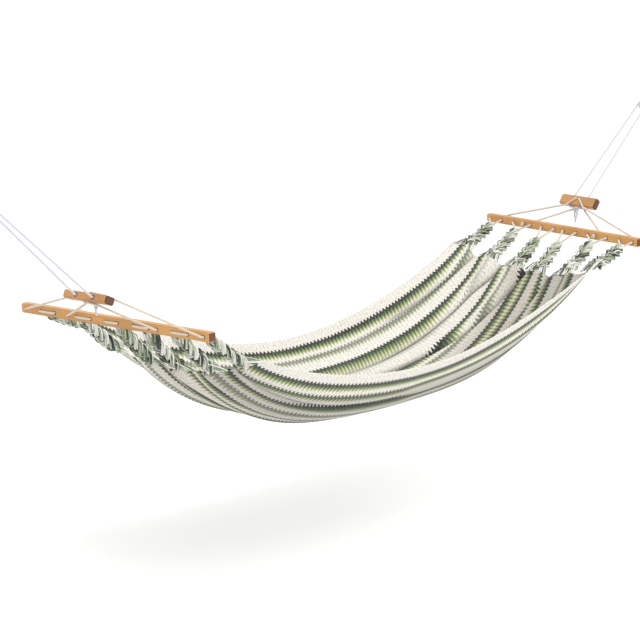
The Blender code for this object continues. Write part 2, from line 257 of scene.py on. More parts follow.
class Net:
    """A node tree that is built by calls."""

    def __init__(self, tree):
        self.tree = tree

    def number(self, amount):
        return self.add("ShaderNodeMath", {"operation": "ADD"}, {0: amount, 1: 0.0})

    def node(self, kind, settings=None, inputs=None):
        node = self.tree.nodes.new(kind)
        for name, setting in (settings or {}).items():
            if name == "stops":
                self.set_stops(node.color_ramp, setting)
            else:
                setattr(node, name, setting)
        for key, source in (inputs or {}).items():
            socket = node.inputs[key]
            if isinstance(source, Value):
                self.tree.links.new(source.socket, socket)
            else:
                socket.default_value = source
        return node

    def add(self, kind, settings=None, inputs=None, output=0):
        return Value(self, self.node(kind, settings, inputs).outputs[output])

    @staticmethod
    def set_stops(ramp, stops):
        while len(ramp.elements) > 1:
            ramp.elements.remove(ramp.elements[-1])
        for index, (place, colour) in enumerate(stops):
            stop = ramp.elements[0] if index == 0 else ramp.elements.new(place)
            stop.position = place
            stop.color = (*colour, 1.0)

    def mix(self, factor, first, second, blend="MIX"):
        """Two colours mixed; a plain colour is three numbers."""
        colours = [c if isinstance(c, Value) else (*c, 1.0) for c in (first, second)]
        node = self.node("ShaderNodeMix", {"data_type": "RGBA", "blend_type": blend, "clamp_factor": True})
        for socket, source in zip((node.inputs[0], node.inputs[6], node.inputs[7]), (factor, *colours)):
            if isinstance(source, Value):
                self.tree.links.new(source.socket, socket)
            else:
                socket.default_value = source
        return Value(self, node.outputs[2])

    def vector(self, operation, *sources, output=0):
        return self.add("ShaderNodeVectorMath", {"operation": operation}, dict(enumerate(sources)), output)

    def scaled(self, vector, amount):
        return self.add("ShaderNodeVectorMath", {"operation": "SCALE"}, {0: vector, 3: amount})

    def noise(self, scale, vector, detail=2.0, output=0):
        inputs = {"Vector": vector, "Scale": scale, "Detail": detail}
        return self.add("ShaderNodeTexNoise", {}, inputs, output)


def start_material(name):
    material = bpy.data.materials.new(name)
    material.use_nodes = True
    net = Net(material.node_tree)
    return material, net, material.node_tree.nodes["Principled BSDF"]


def feed(net, shader, **sources):
    """Links or sets the shader's inputs; names have _ for a space."""
    for name, source in sources.items():
        socket = shader.inputs[name.replace("_", " ")]
        if isinstance(source, Value):
            net.tree.links.new(source.socket, socket)
        else:
            socket.default_value = source


def bump_of(net, height, distance, strength=1.0):
    return net.add("ShaderNodeBump", {}, {"Strength": strength, "Distance": distance, "Height": height})


SAWN_REACH = 0.0042    # how far the dark of a sawn end comes along the board


def hole_shade(net, local, holes):
    """1 in and close round the holes, where shadow is painted: (across axis, place along the board, place
    across, radius) of each.
    """
    separate = net.node("ShaderNodeSeparateXYZ", {}, {0: local})
    length = Value(net, separate.outputs[1]).math("ABSOLUTE")
    mask = net.number(0.0)
    for axis, along, across, radius in holes:
        lead = (length - along).math("POWER", 2.0)
        rise = (Value(net, separate.outputs[axis]) - across).math("POWER", 2.0)
        near = (radius - (lead + rise).math("SQRT")) * 900.0 + 1.0
        mask = mask.math("MAXIMUM", near.math("MINIMUM", 1.0))
    return mask


def wood_material(name, axes, colours, half_length, centre, holes):
    """Clear-coated wood, its grain along the board, its sawn ends dark as end grain with painted shade, and
    painted shadow round the drilled holes.
    """
    pale, dark, shaded_sawn_colour = colours
    material, net, shader = start_material(name)
    place = net.add("ShaderNodeTexCoord", output=3)
    shifted = net.vector("SUBTRACT", place, tuple(centre))
    rotation = tuple(Matrix(axes).to_euler())
    local = net.add(
        "ShaderNodeMapping", {"vector_type": "POINT"}, {"Vector": shifted, "Rotation": rotation},
    )
    grain_place = net.vector("MULTIPLY", local, (1.0, 0.05, 1.0))
    broad = net.noise(38.0, grain_place, 3.0)
    fine = net.noise(330.0, grain_place, 4.0)
    drift = net.noise(5.0, local, 1.0)
    rings = (broad * 9.0 + fine * 0.8).math("SINE") * 0.5 + 0.5
    colour = net.mix(rings * 0.60 + fine * 0.40, pale, dark)
    colour = net.mix((drift - 0.42) * 1.4, colour, tuple(c * 0.80 for c in dark))
    length = net.add("ShaderNodeSeparateXYZ", inputs={0: local}, output=1).math("ABSOLUTE")
    # The sawn ends: darker end grain, with painted shade in their colour.
    sawn = (length - (half_length - SAWN_REACH)).math("GREATER_THAN", 0.0)
    end_rings = (net.vector("LENGTH", local, output=1) * 2400.0 + broad * 14.0).math("SINE") * 0.5 + 0.5
    end_colour = net.mix(end_rings * 0.5, shaded_sawn_colour, tuple(c * 0.6 for c in shaded_sawn_colour))
    colour = net.mix(sawn, colour, end_colour)
    # Painted shadow in and round the drilled holes.
    colour = net.mix(hole_shade(net, local, holes) * 0.9, colour, (0.030, 0.012, 0.006))
    height = rings * 0.4 + fine * 0.8
    feed(net, shader, Base_Color=colour, Roughness=fine * 0.22 + 0.34 + sawn * 0.3)
    feed(net, shader, Normal=bump_of(net, height, 0.0004, 0.5), Coat_Weight=0.20, Coat_Roughness=0.3)
    return material


def fibre_material(name, light, dark, roughness=0.85):
    """Spun fibre: fine streaks of light and dark and a soft surface."""
    material, net, shader = start_material(name)
    place = net.add("ShaderNodeTexCoord", output=3)
    streak = net.noise(900.0, place, 3.0)
    patch = net.noise(60.0, place, 2.0)
    colour = net.mix(streak * 0.7 + patch * 0.3, dark, light)
    feed(net, shader, Base_Color=colour, Roughness=roughness, Sheen_Weight=0.25, Sheen_Roughness=0.6)
    feed(net, shader, Normal=bump_of(net, streak, 0.0004, 0.6))
    return material


def yarn_material(name):
    """Hank yarn: each yarn has its own shade, which the plait gives it as the attribute shade."""
    material, net, shader = start_material(name)
    place = net.add("ShaderNodeTexCoord", output=3)
    shade = net.add("ShaderNodeAttribute", {"attribute_name": "shade"}, output=2)
    stops = [
        (0.0, (0.80, 0.79, 0.74)), (0.42, (0.66, 0.66, 0.60)), (0.50, (0.38, 0.42, 0.33)),
        (0.62, (0.26, 0.32, 0.14)), (0.74, (0.09, 0.14, 0.08)), (0.84, (0.012, 0.020, 0.014)),
    ]
    fleck = net.noise(300.0, place, 3.0)
    tone = shade + (fleck - 0.5) * 0.25
    colour = net.add("ShaderNodeValToRGB", {"stops": stops}, {"Fac": tone})
    feed(net, shader, Base_Color=colour, Roughness=0.9, Sheen_Weight=0.2, Sheen_Roughness=0.6)
    feed(net, shader, Normal=bump_of(net, fleck, 0.0006, 0.6))
    return material


WARP_REPEAT = 0.1325   # from one dark stripe to the next, across the cloth
FIRST_STRIPE = 0.050   # from the selvedge to the first dark stripe
SECOND_STRIPE = 0.108  # from the selvedge to the first thin stripe
PICK = 0.0195          # pitch of the teeth along a stripe
TOOTH_REACH = 0.009
WARP_PITCH = 0.0030
MIDDLE_BAND = 0.355    # from the selvedge to the greyer band along the middle
FLAT_WIDTH = 0.96
CREAM = (0.84, 0.84, 0.80)
BLACK_EDGE = (0.003, 0.005, 0.003)
WHITE = (1.0, 1.0, 1.0)
# Colours from the edge of a stripe inwards, as shares of one repeat of the warp.
MAIN_STOPS = (
    (0.0, BLACK_EDGE), (0.060, (0.004, 0.007, 0.004)), (0.085, (0.018, 0.040, 0.018)),
    (0.135, (0.075, 0.14, 0.055)), (0.185, (0.24, 0.31, 0.10)), (0.235, (0.56, 0.60, 0.34)),
    (0.29, CREAM), (0.978, CREAM), (0.988, (0.006, 0.009, 0.007)),
)
THIN_STOPS = (
    (0.0, (0.02, 0.04, 0.02)), (0.06, (0.07, 0.13, 0.055)), (0.11, (0.26, 0.34, 0.14)),
    (0.16, (0.62, 0.65, 0.42)), (0.20, WHITE), (0.97, WHITE), (0.985, (0.09, 0.15, 0.07)),
)


def striped(net, uv, across, from_rim, tooth):
    """The colour of the stripes: a main one and a thin one in each repeat, mirrored about the middle."""
    drift = net.noise(5.0, uv, 1.0) - 0.5
    ragged = net.noise(260.0, uv, 1.0) - 0.5
    place = from_rim + tooth * TOOTH_REACH + drift * 0.006 + ragged * 0.003
    main_repeat = (place - FIRST_STRIPE) / WARP_REPEAT + 4.0
    thin_repeat = (place - SECOND_STRIPE) / WARP_REPEAT + 4.0
    main = net.add("ShaderNodeValToRGB", {"stops": MAIN_STOPS}, {"Fac": main_repeat.math("FRACT")})
    thin = net.add("ShaderNodeValToRGB", {"stops": THIN_STOPS}, {"Fac": thin_repeat.math("FRACT")})
    cell = thin_repeat.math("FLOOR") - 4.0
    faint_cell = (cell - 1.0).math("ABSOLUTE").math("LESS_THAN", 0.5)
    near_half = (across - FLAT_WIDTH / 2).math("LESS_THAN", 0.0)
    patchy = net.noise(2.4, uv, 1.0)
    strength = 0.55 + near_half * 0.45 + patchy * 0.5 - faint_cell * 0.45
    return net.mix(strength.between(0.1, 1.0), main, thin, "MULTIPLY")


def weave_material(name):
    """Striped handwoven cotton. The UV map holds metres across the cloth and along it."""
    material, net, shader = start_material(name)
    uv = net.add("ShaderNodeUVMap", {"uv_map": "cloth_metres"})
    across = net.add("ShaderNodeSeparateXYZ", inputs={0: uv}, output=0)
    along = net.add("ShaderNodeSeparateXYZ", inputs={0: uv}, output=1)
    from_rim = FLAT_WIDTH / 2 - (across - FLAT_WIDTH / 2).math("ABSOLUTE")
    pick = (along / PICK).math("FRACT")
    tooth = (((pick - 0.5).math("ABSOLUTE") * 2.0 - 0.5) * 2.2 + 0.5).between(0.0, 1.0)
    colour = striped(net, uv, across, from_rim, tooth)
    cloud = net.noise(9.0, net.vector("MULTIPLY", uv, (1.0, 0.12, 1.0)), 1.0)
    warm = net.mix(cloud, (1.0, 0.99, 0.95), (0.97, 0.90, 0.87))
    colour = net.mix(1.0, colour, warm, "MULTIPLY")
    speckle = net.noise(210.0, uv, 2.0)
    coarse = net.noise(90.0, uv, 2.0)
    dots = ((speckle - 0.54) * 9.0 + (coarse - 0.5) * 3.0).between(0.0, 1.0)
    colour = net.mix(dots * 0.66, colour, (0.24, 0.23, 0.20))
    warp = (across * (2 * math.pi / WARP_PITCH)).math("SINE")
    weft = (along * (2 * math.pi / PICK)).math("SINE")
    rib = (along * (4 * math.pi / PICK) + warp * 0.9).math("SINE")
    middle_band = ((from_rim - MIDDLE_BAND) * 14.0).between(0.0, 1.0)
    colour = net.mix(middle_band, colour, net.mix(1.0, colour, (0.74, 0.71, 0.69), "MULTIPLY"))
    colour = net.mix((1.0 - tooth) * 0.12, colour, (0.25, 0.25, 0.22), "MULTIPLY")
    colour = net.mix((rib * 0.5 + 0.5) * 0.16, colour, (0.30, 0.29, 0.26), "MULTIPLY")
    # Painted shade in the crease folds and on the near half's underside, read from the cloth's attribute.
    painted_shade = net.add("ShaderNodeAttribute", {"attribute_name": "painted_shade"}, output=2)
    colour = net.mix(painted_shade, colour, net.mix(1.0, colour, (0.24, 0.23, 0.21), "MULTIPLY"))
    height = weft * 0.30 + rib * 0.35 + warp * 0.30 + speckle * 1.1
    feed(net, shader, Base_Color=colour, Roughness=0.92, Sheen_Weight=0.1, Sheen_Roughness=0.7)
    feed(net, shader, Normal=bump_of(net, height, 0.0016, 0.6))
    return material


def steel_material(name):
    material, net, shader = start_material(name)
    place = net.add("ShaderNodeTexCoord", output=3)
    cloud = net.noise(90.0, place, 3.0)
    scratch = net.noise(700.0, net.vector("MULTIPLY", place, (1.0, 0.2, 1.0)), 2.0)
    colour = net.mix(cloud, (0.58, 0.60, 0.62), (0.78, 0.78, 0.77))
    feed(net, shader, Base_Color=colour, Metallic=1.0, Roughness=cloud * 0.2 + scratch * 0.12 + 0.2)
    feed(net, shader, Normal=bump_of(net, scratch, 0.0002, 0.3))
    return material


# ---------------------------------------------------------------- paths and strands

def rounded(corners, radius, step=20.0):
    """The corners joined by straight runs, with an arc of the given radius in place of each bend."""
    path = [corners[0]]
    for before, corner, after in zip(corners, corners[1:], corners[2:]):
        into = (corner - before).normalized()
        out = (after - corner).normalized()
        turn = into.angle(out)
        if turn < math.radians(4):
            path.append(corner)
            continue
        reach = min((corner - before).length * 0.48, (after - corner).length * 0.48)
        cut = min(radius * math.tan(turn / 2), reach)
        bend = cut / math.tan(turn / 2)
        middle = corner + (out - into).normalized() * (bend / math.cos(turn / 2))
        start = corner - into * cut - middle
        axis = into.cross(out).normalized()
        count = max(1, math.ceil(math.degrees(turn) / step))
        path += [middle + Matrix.Rotation(turn * i / count, 3, axis) @ start for i in range(count + 1)]
    path.append(corners[-1])
    return path


def path_length(path):
    return sum((b - a).length for a, b in zip(path, path[1:]))


def guide_object(name, paths, vectors=None, numbers=None):
    """A mesh of plain edges along the paths, with named attributes on its points for a tree to read."""
    places = [tuple(place) for path in paths for place in path]
    edges = []
    start = 0
    for path in paths:
        edges += [(start + i, start + i + 1) for i in range(len(path) - 1)]
        start += len(path)
    mesh = bpy.data.meshes.new(name)
    mesh.from_pydata(places, edges, [])
    for key, values in (vectors or {}).items():
        layer = mesh.attributes.new(key, "FLOAT_VECTOR", "POINT")
        layer.data.foreach_set("vector", [x for value in values for x in value])
    for key, values in (numbers or {}).items():
        layer = mesh.attributes.new(key, "FLOAT", "POINT")
        layer.data.foreach_set("value", values)
    guide = bpy.data.objects.new(name, mesh)
    bpy.context.collection.objects.link(guide)
    return guide


def new_tree(name, sockets):
    """A Geometry Nodes tree with geometry in and out and the named inputs; gives its net and inputs."""
    tree = bpy.data.node_groups.new(name, "GeometryNodeTree")
    tree.interface.new_socket("Guides", in_out="INPUT", socket_type="NodeSocketGeometry")
    for label, kind in sockets:
        tree.interface.new_socket(label, in_out="INPUT", socket_type=kind)
    tree.interface.new_socket("Pieces", in_out="OUTPUT", socket_type="NodeSocketGeometry")
    net = Net(tree)
    source = tree.nodes.new("NodeGroupInput")
    inputs = {socket.name: Value(net, socket) for socket in source.outputs if socket.name}
    return tree, net, inputs


def end_tree(tree, net, geometry, material):
    """Realizes the instances, gives them the material and ends the tree."""
    real = net.add("GeometryNodeRealizeInstances", {}, {0: geometry})
    smooth = net.add("GeometryNodeSetShadeSmooth", {}, {"Geometry": real})
    painted = net.add("GeometryNodeSetMaterial", {}, {"Geometry": smooth, "Material": material})
    net.node("NodeGroupOutput", {}, {0: painted})
    return tree


def swept(net, curve, radius, sides):
    """The curve as a round tube with closed ends."""
    ring = net.add(
        "GeometryNodeCurvePrimitiveCircle", {"mode": "RADIUS"}, {"Resolution": sides, "Radius": radius},
    )
    inputs = {"Curve": curve, "Profile Curve": ring, "Fill Caps": True}
    return net.add("GeometryNodeCurveToMesh", {}, inputs)


def copied(net, curve, amount):
    """The Duplicate Elements node that makes this many copies of each curve."""
    inputs = {0: curve, "Amount": amount}
    return net.node("GeometryNodeDuplicateElements", {"domain": "SPLINE"}, inputs)


def numbered(net, copies, label):
    """The copies with their numbers kept on them, and those numbers."""
    keep = net.node("GeometryNodeCaptureAttribute", {"domain": "CURVE"}, {0: Value(net, copies.outputs[0])})
    keep.capture_items.new("INT", label)
    net.tree.links.new(copies.outputs["Duplicate Index"], keep.inputs[1])
    return Value(net, keep.outputs[0]), Value(net, keep.outputs[1])


def resampled(net, curve, step):
    inputs = {"Curve": curve, "Length": step}
    return net.add("GeometryNodeResampleCurve", {"mode": "LENGTH"}, inputs)


def moved(net, curve, offset):
    return net.add("GeometryNodeSetPosition", {}, {"Geometry": curve, "Offset": offset})


FLOAT, INT, MATERIAL = "NodeSocketFloat", "NodeSocketInt", "NodeSocketMaterial"
GOLDEN_ANGLE = 2.39996
YARN_SIDES = 5


def cord_tree():
    """Strands laid round a guide: all twisted one way, or by turns both ways, over and under, as a braid."""
    sockets = [
        ("Strands", INT), ("Strand Radius", FLOAT), ("Coil Radius", FLOAT), ("Lay Length", FLOAT),
        ("Step", FLOAT), ("Sides", INT), ("Crossing", FLOAT), ("Lift", FLOAT), ("Material", MATERIAL),
    ]
    tree, net, given = new_tree("laid_cord", sockets)
    curve = net.add("GeometryNodeMeshToCurve", {}, {"Mesh": given["Guides"]})
    even = resampled(net, curve, given["Step"])
    steady = net.add("GeometryNodeSetCurveNormal", {"mode": "MINIMUM_TWIST"}, {"Curve": even})
    copies = copied(net, steady, given["Strands"])
    number = Value(net, copies.outputs["Duplicate Index"])
    length = net.add("GeometryNodeSplineParameter", output=1)
    turn = length / given["Lay Length"] * (2 * math.pi)
    backwards = 1.0 - number.math("MODULO", 2.0) * 2.0 * given["Crossing"]
    angle = turn * backwards + number / given["Strands"] * (2 * math.pi)
    lift = (turn * given["Strands"] * 0.5).math("SINE") * backwards * given["Lift"]
    reach = given["Coil Radius"] + lift
    normal = net.add("GeometryNodeInputNormal")
    tangent = net.add("GeometryNodeInputTangent")
    other = net.vector("CROSS_PRODUCT", tangent, normal)
    first = net.scaled(normal, angle.math("COSINE") * reach)
    second = net.scaled(other, angle.math("SINE") * reach)
    laid = moved(net, Value(net, copies.outputs[0]), net.vector("ADD", first, second))
    tube = swept(net, laid, given["Strand Radius"], given["Sides"])
    return end_tree(tree, net, tube, given["Material"])


def plait_tree():
    """Strands of loose yarn plaited along each guide.

    The guides carry sideways, the way across the plait, and girth, its share of full size at each point."""
    sockets = [
        ("Strands", INT), ("Yarns", INT), ("Yarn Radius", FLOAT), ("Half Width", FLOAT),
        ("Half Thickness", FLOAT), ("Strand Radius", FLOAT), ("Pitch", FLOAT), ("Step", FLOAT),
        ("Looseness", FLOAT), ("Seed", INT), ("Material", MATERIAL),
    ]
    tree, net, given = new_tree("plaited_hank", sockets)
    curve = net.add("GeometryNodeMeshToCurve", {}, {"Mesh": given["Guides"]})
    strands = copied(net, resampled(net, curve, given["Step"]), given["Strands"])
    strand_curves, strand = numbered(net, strands, "Strand")
    yarn_curves, yarn = numbered(net, copied(net, strand_curves, given["Yarns"]), "Yarn")
    girth = net.add("GeometryNodeInputNamedAttribute", {"data_type": "FLOAT"}, {"Name": "girth"})
    sideways = net.add(
        "GeometryNodeInputNamedAttribute", {"data_type": "FLOAT_VECTOR"}, {"Name": "sideways"},
    )
    upright = net.vector("CROSS_PRODUCT", net.add("GeometryNodeInputTangent"), sideways)
    length = net.add("GeometryNodeSplineParameter", output=1)
    phase = (length / given["Pitch"] + strand / given["Strands"]) * (2 * math.pi)
    ring = (yarn / given["Yarns"]).math("SQRT") * given["Strand Radius"]
    angle = yarn * GOLDEN_ANGLE + length * 14.0 + strand
    across = phase.math("SINE") * given["Half Width"] + angle.math("COSINE") * ring
    through = (phase * 2.0).math("SINE") * given["Half Thickness"] + angle.math("SINE") * ring
    spread = net.vector("MULTIPLY", net.add("GeometryNodeInputPosition"), (26.0, 26.0, 26.0))
    apart = {0: yarn * 3.7, 1: strand * 5.1, 2: given["Seed"] * 1.3}
    key = net.vector("ADD", spread, net.add("ShaderNodeCombineXYZ", {}, apart))
    stray = net.vector("SUBTRACT", net.noise(1.0, key, 1.0, output=1), (0.5, 0.5, 0.5))
    plaited = net.vector("ADD", net.scaled(sideways, across * girth), net.scaled(upright, through * girth))
    laid = moved(net, yarn_curves, net.vector("ADD", plaited, net.scaled(stray, given["Looseness"])))
    yarn_chance, strand_chance = (
        Value(net, net.node(
            "FunctionNodeRandomValue", {"data_type": "FLOAT"}, {"ID": number, "Seed": given["Seed"]},
        ).outputs[1])
        for number in (yarn + strand * 37.0, strand * 11.0 + 5.0)
    )
    shade = yarn_chance * 0.62 + strand_chance * 0.50 - 0.04
    stored = net.add(
        "GeometryNodeStoreNamedAttribute", {"data_type": "FLOAT", "domain": "POINT"},
        {"Geometry": laid, "Name": "shade", "Value": shade},
    )
    tube = swept(net, stored, given["Yarn Radius"], YARN_SIDES)
    return end_tree(tree, net, tube, given["Material"])


def yarn_tree():
    """Plain yarns: each guide becomes one round yarn."""
    sockets = [("Yarn Radius", FLOAT), ("Sides", INT), ("Material", MATERIAL)]
    tree, net, given = new_tree("loose_yarn", sockets)
    curve = net.add("GeometryNodeMeshToCurve", {}, {"Mesh": given["Guides"]})
    tube = swept(net, curve, given["Yarn Radius"], given["Sides"])
    return end_tree(tree, net, tube, given["Material"])


def grown(guide, tree, name, **amounts):
    """Runs the tree on the guide and returns the result as a plain mesh object in its place."""
    modifier = guide.modifiers.new("grow", "NODES")
    modifier.node_group = tree
    names = {item.name: item.identifier for item in tree.interface.items_tree if item.in_out == "INPUT"}
    for label, amount in amounts.items():
        modifier[names[label.replace("_", " ")]] = amount
    bpy.context.view_layer.update()
    depsgraph = bpy.context.evaluated_depsgraph_get()
    mesh = bpy.data.meshes.new_from_object(guide.evaluated_get(depsgraph), depsgraph=depsgraph)
    mesh.name = name
    bpy.data.objects.remove(guide, do_unlink=True)
    piece = bpy.data.objects.new(name, mesh)
    bpy.context.collection.objects.link(piece)
    return piece


# ---------------------------------------------------------------- cords and ropes

def half_harness(side, half):
    face = BAR_SIZE / 2 + CORD_CLEAR
    edge = BLOCK_DEPTH / 2 + CORD_CLEAR
    board = BLOCK_THICKNESS / 2 + CORD_CLEAR
    return [
        bar_point(side, half * LEG_HOLE, -face),
        bar_point(side, half * LEG_HOLE, face),
        block_point(side, half * 0.030, -edge, -board),
        block_point(side, half * CORD_HOLE, CORD_HOLE_DEPTH, -board),
        block_point(side, half * CORD_HOLE, CORD_HOLE_DEPTH, board),
        block_point(side, half * 0.050, -edge, board),
        bar_point(side, half * LACE_HOLES[0], face),
    ]


def lacing_corners(side):
    face = BAR_SIZE / 2 + CORD_CLEAR
    holes = list(LACE_HOLES) + [-hole for hole in reversed(LACE_HOLES)]
    corners = []
    for pair, index in enumerate(reversed(range(len(HANK_PLACES)))):
        first, second = holes[2 * pair], holes[2 * pair + 1]
        eye = hank_eye(side, index)
        over = Vector((0.0, 0.0, 0.006))
        corners += [
            bar_point(side, first, face),
            bar_point(side, first, -face),
            eye + over,
            eye - over,
            bar_point(side, second, -face),
            bar_point(side, second, face),
        ]
    return corners


def knot_path(centre, first, second, reach):
    """A tight overhand knot in the plane of the two directions."""
    third = first.cross(second)
    path = []
    for i in range(61):
        t = 2 * math.pi * i / 60 * 0.98
        ring = 2.0 + math.cos(3 * t)
        flat = ring * math.cos(2 * t) * first + ring * math.sin(2 * t) * second
        path.append(centre + (flat + 1.3 * math.sin(3 * t) * third) * reach / 3.0)
    return path


def grow_cord(guide, tree, name, material, fullness, tightness, step):
    """Three-strand twisted cord; fullness scales its strands and tightness the coil that they make."""
    strand = CORD_RADIUS * 0.464
    return grown(
        guide, tree, name, Strands=3, Strand_Radius=strand * fullness,
        Coil_Radius=(CORD_RADIUS - strand) * tightness, Lay_Length=CORD_LAY, Step=step, Sides=6,
        Crossing=0.0, Lift=0.0, Material=material,
    )


def make_lacing(end, side, tree, material):
    far = half_harness(side, 1)
    near = half_harness(side, -1)
    path = rounded(far[:-1] + lacing_corners(side) + list(reversed(near[:-1])), CORD_CLEAR)
    guide = guide_object(end + "_lacing_guide", [path])
    cord = grow_cord(guide, tree, end + "_laid_lacing_cord", material, 1.06, 1.0, 0.0016)
    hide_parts(end + "_lacing_cord")
    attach(cord, BODIES[side])
    round(path_length(path), 3)
    _, along, up = bar_axes(side)
    for word in ("far", "near"):
        low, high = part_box("%s_cord_knot_%s" % (end, word))
        loops = [knot_path((low + high) / 2, along, up, CORD_KNOT_REACH)]
        guide = guide_object(end + "_cord_knot_guide", loops)
        knot = grow_cord(guide, tree, "%s_tied_cord_knot_%s" % (end, word), material, 0.85, 0.8, 0.0012)
        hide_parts("%s_cord_knot_%s" % (end, word))
        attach(knot, BODIES[side])


def rope_path(side):
    pull = pull_of(side)
    sideways = Vector((0.0, 1.0, 0.0))
    edge = BLOCK_DEPTH / 2 + ROPE_CLEAR
    centre = block_centre(side) + ROPE_RUN * pull
    halves = []
    for half in (1, -1):
        bend = [centre + THIMBLE_SEAT * (half * math.cos(t) * sideways + math.sin(t) * pull)
                for t in (math.radians(angle) for angle in (0, 15, 30, 45, 60, 75, 90))]
        limb = [
            block_point(side, half * 0.012, -edge),
            block_point(side, half * ROPE_HOLE, -edge),
            block_point(side, half * ROPE_HOLE, edge),
        ]
        halves.append(rounded(limb + [bend[0]], ROPE_CLEAR) + bend[1:])
    return halves[0] + list(reversed(halves[1]))[1:]


def grow_rope(guide, tree, name, material):
    """Braided rope of eight strands, four each way."""
    strand = ROPE_RADIUS * 0.36
    lift = 0.0006
    return grown(
        guide, tree, name, Strands=8, Strand_Radius=strand, Coil_Radius=ROPE_RADIUS - strand - lift,
        Lay_Length=ROPE_LAY, Step=0.0022, Sides=6, Crossing=1.0, Lift=lift, Material=material,
    )


def rope_tail(top, lean, drop):
    """An end of the rope hanging out of its knot."""
    return [
        top + Vector((0.0, 0.006 * lean, -0.006)),
        top + Vector((0.002 * lean, 0.008 * lean, -0.024)),
        top + Vector((0.004 * lean, 0.005 * lean, -drop * 0.7)),
        top + Vector((0.004 * lean, 0.003 * lean, -drop)),
    ]


def make_rope(end, side, tree, material):
    path = rope_path(side)
    rope = grow_rope(guide_object(end + "_rope_guide", [path]), tree, end + "_braided_rope", material)
    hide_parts(end + "_suspension_rope")
    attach(rope, BODIES[side])
    low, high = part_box(end + "_rope_knot")
    middle = (low + high) / 2
    top = Vector((middle.x, middle.y, high.z - ROPE_KNOT_RADIUS))
    loops = knot_path(top, Vector((0, 1, 0)), Vector((0, 0, 1)), ROPE_KNOT_REACH)
    tails = [rope_tail(top, lean, drop) for lean, drop in ROPE_TAILS]
    guide = guide_object(end + "_rope_knot_guide", [loops, *tails])
    knot = grow_rope(guide, tree, end + "_tied_rope_knot", material)
    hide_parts(end + "_rope_knot")
    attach(knot, BODIES[side])
    round(path_length(path), 3)


# ---------------------------------------------------------------- hanks

PLAIT_SHARE = 0.17     # share of the way from the cloth to the eye where the fan becomes a plait
FAN_HALF_WIDTH = 0.060
FAN_YARNS = 54
FAN_POINTS = 8
PLAIT_POINTS = 16
PLAIT_END = 1.03       # the plait's end as a share of the way, a little past the eye


def hank_frame(side, index):
    foot = bed_point(side, hank_across(index)) - 0.004 * bar_axes(side)[0]
    eye = hank_eye(side, index)
    way = eye - foot
    length = way.length
    way.normalize()
    along = bar_axes(side)[1]
    sideways = (along - along.dot(way) * way).normalized()
    return foot, length, way, sideways


def plait_guide(end, foot, length, way, sideways):
    """The line that a plait follows, wide at the cloth and narrowing to the eye."""
    sag = Vector((0.0, 0.0, -0.006))
    start = PLAIT_SHARE * 0.6
    places, girths = [], []
    for i in range(PLAIT_POINTS + 1):
        share = i / PLAIT_POINTS
        run = start + (PLAIT_END - start) * share
        places.append(foot + run * length * way + 4 * share * (1 - share) * sag)
        girths.append(1.30 - 0.30 * share if share < 0.86 else 1.04 - 3.2 * (share - 0.86))
    vectors = {"sideways": [tuple(sideways)] * len(places)}
    return guide_object(end + "_plait_guide", [places], vectors, {"girth": girths})


def fan_guide(end, side, index, frame_of_hank):
    """The loose yarns between the cloth's edge and the start of the plait."""
    foot, length, way, sideways = frame_of_hank
    plait_start = foot + PLAIT_SHARE * 0.75 * length * way
    upright = way.cross(sideways)
    dice = random.Random(100 * index + side)
    paths, shades = [], []
    for i in range(FAN_YARNS):
        at = 2 * (i + 0.5) / FAN_YARNS - 1
        low = bed_point(side, hank_across(index) + at * FAN_HALF_WIDTH / END_HALF_WIDTH)
        low = low - 0.010 * bar_axes(side)[0]
        angle = dice.uniform(0, 2 * math.pi)
        high = plait_start + (at * 0.022 + dice.uniform(-0.004, 0.004)) * sideways
        high = high + 0.009 * math.sin(angle) * upright + 0.03 * way
        bow = dice.uniform(-0.004, 0.006) * upright
        path = []
        for k in range(FAN_POINTS + 1):
            t = k / FAN_POINTS
            ease = t * t * (3 - 2 * t) * 0.5 + t * 0.5
            path.append(low.lerp(high, ease) + 4 * t * (1 - t) * bow)
        paths.append(path)
        shades += [dice.choice((0.05, 0.15, 0.3, 0.5, 0.7, 0.9))] * len(path)
    return guide_object(end + "_fan_guide", paths, numbers={"shade": shades})


def make_hank(end, side, index, trees, material):
    frame_of_hank = hank_frame(side, index)
    plait = grown(
        plait_guide(end, *frame_of_hank), trees["plait"], "%s_plait_%d" % (end, index + 1), Strands=5,
        Yarns=16, Yarn_Radius=0.0018, Half_Width=0.0190, Half_Thickness=0.0095, Strand_Radius=0.0082,
        Pitch=0.150, Step=0.005, Looseness=0.006, Seed=10 * index + side, Material=material,
    )
    fan = grown(
        fan_guide(end, side, index, frame_of_hank), trees["yarn"], "%s_fan_%d" % (end, index + 1),
        Yarn_Radius=0.0019, Sides=YARN_SIDES, Material=material,
    )
    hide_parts("%s_hank_%d" % (end, index + 1))
    for piece in (plait, fan):
        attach(piece, BODIES[side])


# ---------------------------------------------------------------- the woven bed

CLOTH_LENGTHWISE = 200
CLOTH_ACROSS = 110
CLOTH_THICKNESS = 0.0026
SCALLOP = 0.026        # how far the cloth's end edge draws back between two hanks
BESIDE_CREASE = (
    -0.040, -0.029, -0.020, -0.013, -0.008, -0.004, 0.0, 0.004, 0.008, 0.013, 0.020, 0.029, 0.040,
)
